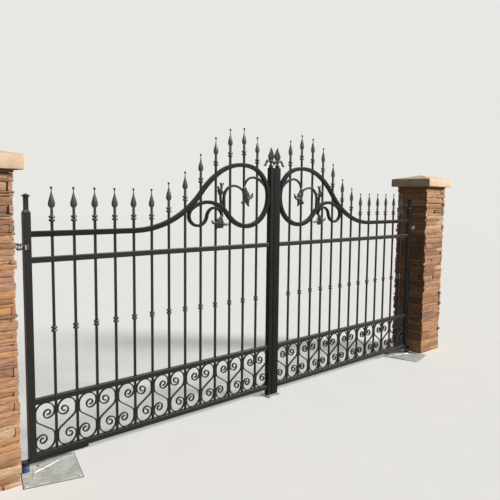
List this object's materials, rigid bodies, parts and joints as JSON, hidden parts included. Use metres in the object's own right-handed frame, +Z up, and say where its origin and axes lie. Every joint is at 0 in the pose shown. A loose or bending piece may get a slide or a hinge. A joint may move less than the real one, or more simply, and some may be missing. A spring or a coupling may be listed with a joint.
{
  "type": "double-leaf driveway gate",
  "caption": "Wrought iron driveway gate with swept scrolled top rails, spearheads and an S-scroll panel, hung on hinges between stone-clad piers.",
  "frame": {"origin": "middle of the left pier's foot, at ground level, seen from the yard that the leaves open into", "axes": "+X along the gateway to the right pier, -Y towards the yard, +Z up"},
  "size_m": [4.91, 0.535, 2.133],
  "materials": {
    "stone_cladding": "rough",
    "cast_stone": "matt",
    "dark_paint": "semi-matt",
    "bright_zinc": "satin",
    "galvanised_steel": "spangled"
  },
  "bodies": {
    "posts": {"left_pier": "stone_cladding", "right_pier": "stone_cladding", "left_pier_cap": "cast_stone", "right_pier_cap": "cast_stone", "left_hinge_rod": "bright_zinc", "right_hinge_rod": "bright_zinc", "left_drive_cover": "galvanised_steel", "right_drive_cover": "galvanised_steel", "centre_stop": "galvanised_steel"},
    "left_leaf": {"left_hinge_stile": "dark_paint", "left_stile_cap": "dark_paint", "left_meeting_stile": "dark_paint", "left_bottom_rail": "dark_paint", "left_lower_rail": "dark_paint", "left_middle_rail": "dark_paint", "left_top_rail": "dark_paint", "left_bars": "dark_paint", "left_bar_rings": "dark_paint", "left_spearheads": "dark_paint", "left_s_scrolls": "dark_paint", "left_inner_scrolls": "dark_paint", "left_scroll_leaves": "dark_paint", "left_finial": "dark_paint", "left_hinge_clevis": "dark_paint", "left_hinge_bolt": "bright_zinc", "left_drive_shoe": "dark_paint"},
    "right_leaf": {"right_hinge_stile": "dark_paint", "right_stile_cap": "dark_paint", "right_meeting_stile": "dark_paint", "right_bottom_rail": "dark_paint", "right_lower_rail": "dark_paint", "right_middle_rail": "dark_paint", "right_top_rail": "dark_paint", "right_bars": "dark_paint", "right_bar_rings": "dark_paint", "right_spearheads": "dark_paint", "right_s_scrolls": "dark_paint", "right_inner_scrolls": "dark_paint", "right_scroll_leaves": "dark_paint", "right_finial": "dark_paint", "right_hinge_clevis": "dark_paint", "right_hinge_bolt": "bright_zinc", "right_drive_shoe": "dark_paint", "right_closing_strip": "dark_paint"}
  },
  "joints": [
    {"name": "left_leaf_hinge", "type": "hinge", "parent": "posts", "child": "left_leaf", "pos_m": [0.24, -0.042, 0], "axis": [0, 0, -1], "range_deg": [0, 100]},
    {"name": "right_leaf_hinge", "type": "hinge", "parent": "posts", "child": "right_leaf", "pos_m": [4.22, -0.042, 0], "axis": [0, 0, 1], "range_deg": [0, 100]}
  ]
}
